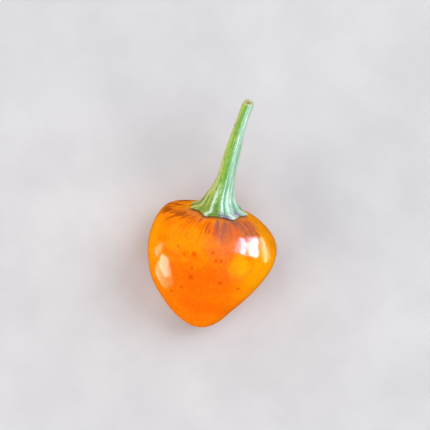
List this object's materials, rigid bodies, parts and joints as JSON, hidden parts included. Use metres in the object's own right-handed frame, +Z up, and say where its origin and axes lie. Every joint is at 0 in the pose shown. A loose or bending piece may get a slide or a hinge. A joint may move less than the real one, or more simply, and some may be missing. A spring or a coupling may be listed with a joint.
{
  "type": "chilli pepper",
  "caption": "Small heart-shaped chilli pepper as picked, glossy orange, lying on its side with its green stalk and toothed calyx.",
  "frame": {"origin": "centre of the small flat spot that the fruit rests on, at the surface", "axes": "+Z up, +Y the way the stalk points, so the fruit's tip points along -Y"},
  "size_m": [0.0302, 0.0543, 0.0263],
  "materials": {
    "fruit_skin": "glossy, waxy",
    "stalk_green": "smooth, slightly fibrous"
  },
  "bodies": {
    "root": {"fruit": "fruit_skin", "stalk": "stalk_green"}
  },
  "joints": []
}
